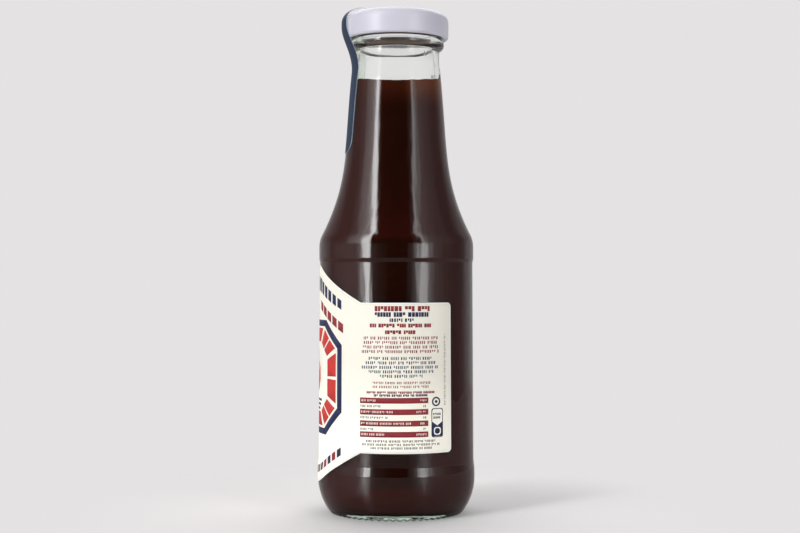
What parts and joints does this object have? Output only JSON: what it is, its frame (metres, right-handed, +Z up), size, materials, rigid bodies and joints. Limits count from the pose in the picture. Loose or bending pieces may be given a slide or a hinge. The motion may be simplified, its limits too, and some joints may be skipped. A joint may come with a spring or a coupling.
{
  "type": "barbecue sauce bottle",
  "caption": "Clear glass sauce bottle with a long flared neck, filled with dark sauce, closed by a white twist-off cap with a paper seal strip and a wrap-round label.",
  "frame": {"origin": "middle of the ring that the bottle stands on", "axes": "+Z up along the bottle's axis; the front of the label and the seal strip face -Y"},
  "size_m": [0.0615, 0.0617, 0.1964],
  "materials": {
    "clear_glass": "clear soda-lime glass, blown and fire polished",
    "sauce": "thick dark brown sauce, glossy against the glass",
    "cap_enamel": "white enamelled tinplate, glossy",
    "label_paper": "cream uncoated paper with printed bars, badge and ribbons",
    "strip_paper": "navy coated paper"
  },
  "bodies": {
    "root": {"bottle": "clear_glass", "sauce": "sauce", "cap": "cap_enamel", "label": "label_paper", "seal_strip": "strip_paper"}
  },
  "joints": []
}
